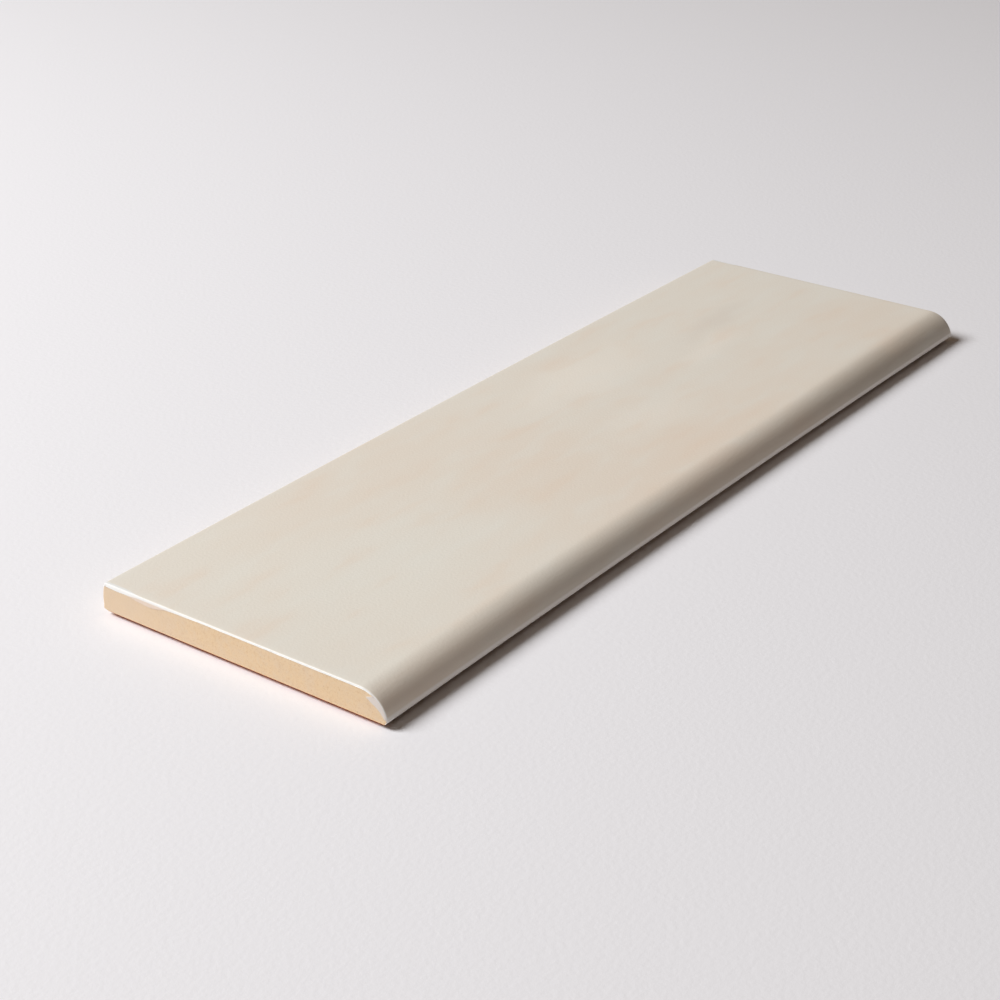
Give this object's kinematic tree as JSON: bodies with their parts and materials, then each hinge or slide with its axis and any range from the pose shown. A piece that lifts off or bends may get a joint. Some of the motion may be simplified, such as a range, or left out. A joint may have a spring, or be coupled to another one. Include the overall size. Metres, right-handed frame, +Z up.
{
  "type": "bullnose tile",
  "caption": "Flat rectangular ceramic wall trim tile with a glazed face, one long edge rounded over as a bullnose, bare clay ends and a keyed back.",
  "frame": {"origin": "middle of the flat back, on the floor plane the tile lies on", "axes": "+X along the tile's length, +Y across its width from the bullnose to the plain edge, +Z up out of the glazed face"},
  "size_m": [0.302, 0.096, 0.0095],
  "materials": {
    "glazed_tile": "satin"
  },
  "bodies": {
    "root": {"bullnose_tile": "glazed_tile"}
  },
  "joints": []
}
